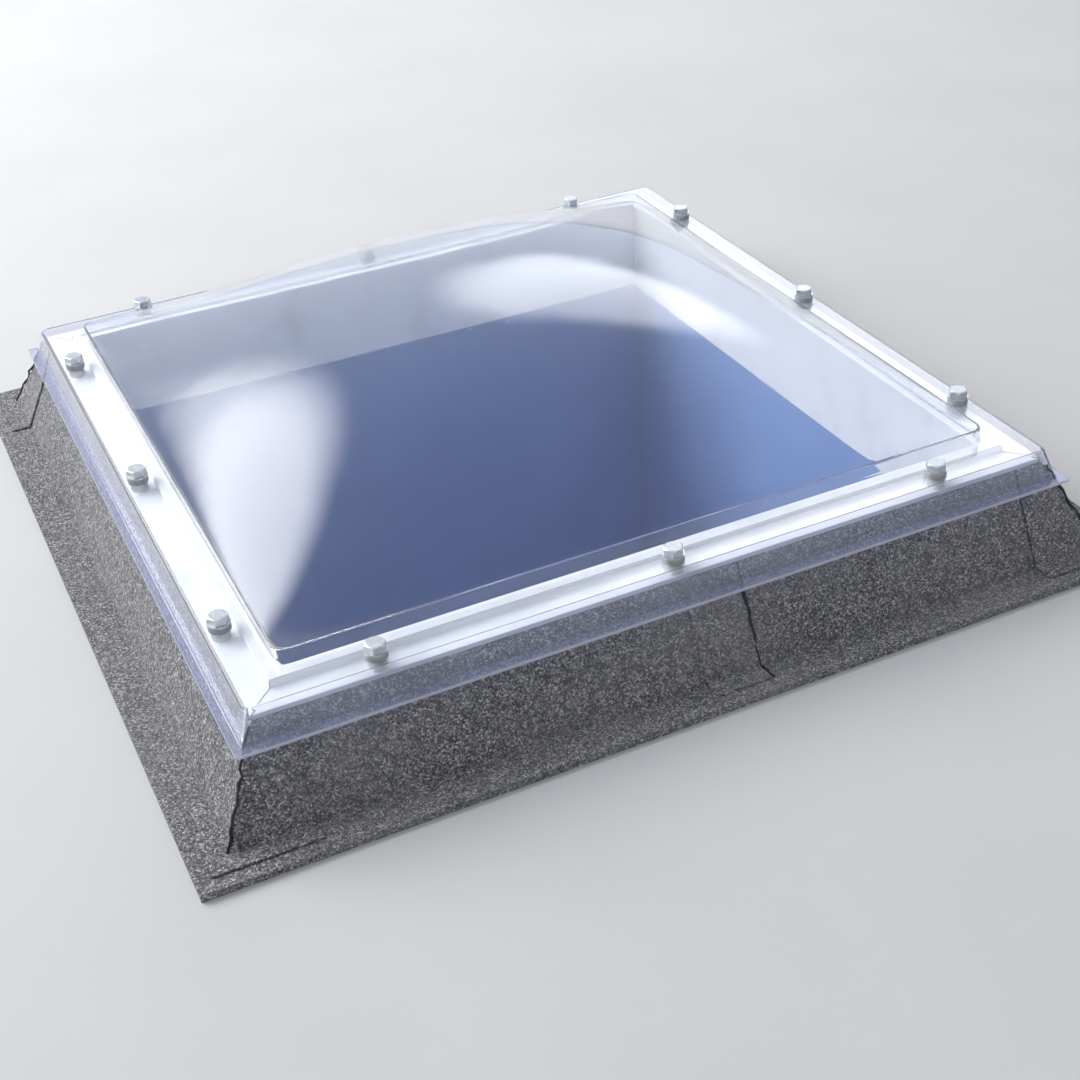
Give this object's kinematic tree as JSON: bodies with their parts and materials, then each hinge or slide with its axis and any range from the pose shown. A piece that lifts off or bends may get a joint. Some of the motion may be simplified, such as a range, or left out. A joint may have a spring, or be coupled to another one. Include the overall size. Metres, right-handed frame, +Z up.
{
  "type": "dome rooflight with kerb",
  "caption": "Fixed square dome rooflight: a clear moulded dome screwed through its flange on a white hollow plastic kerb that is clad in mineral roofing felt.",
  "frame": {"origin": "middle of the kerb's base, on the roof deck", "axes": "+Z up through the crown of the dome, -Y towards the side with the lapped felt seam, +X to the right of that side"},
  "size_m": [1.346, 1.346, 0.3278],
  "materials": {
    "clear_plastic": "clear, glossy, slightly weathered",
    "white_pvc": "smooth satin extrusion",
    "rubber": "matt grey",
    "foam_tape": "white closed-cell foam",
    "mineral_felt": "bitumen felt with mineral granules",
    "zinc_steel": "zinc plated, dull",
    "washer_steel": "stainless, worn",
    "spacer_nylon": "milky translucent"
  },
  "bodies": {
    "root": {"dome": "clear_plastic", "kerb_front": "white_pvc", "kerb_back": "white_pvc", "kerb_left": "white_pvc", "kerb_right": "white_pvc", "seal_front": "foam_tape", "seal_back": "foam_tape", "seal_left": "foam_tape", "seal_right": "foam_tape", "felt_front_left": "mineral_felt", "felt_front_right": "mineral_felt", "felt_back": "mineral_felt", "felt_left": "mineral_felt", "felt_right": "mineral_felt", "felt_patch_front_left": "mineral_felt", "felt_patch_front_right": "mineral_felt", "felt_patch_back_left": "mineral_felt", "felt_patch_back_right": "mineral_felt", "screws_front": "zinc_steel", "steel_washers_front": "washer_steel", "rubber_washers_front": "rubber", "spacers_front": "spacer_nylon", "screws_back": "zinc_steel", "steel_washers_back": "washer_steel", "rubber_washers_back": "rubber", "spacers_back": "spacer_nylon", "screws_left": "zinc_steel", "steel_washers_left": "washer_steel", "rubber_washers_left": "rubber", "spacers_left": "spacer_nylon", "screws_right": "zinc_steel", "steel_washers_right": "washer_steel", "rubber_washers_right": "rubber", "spacers_right": "spacer_nylon"}
  },
  "joints": []
}
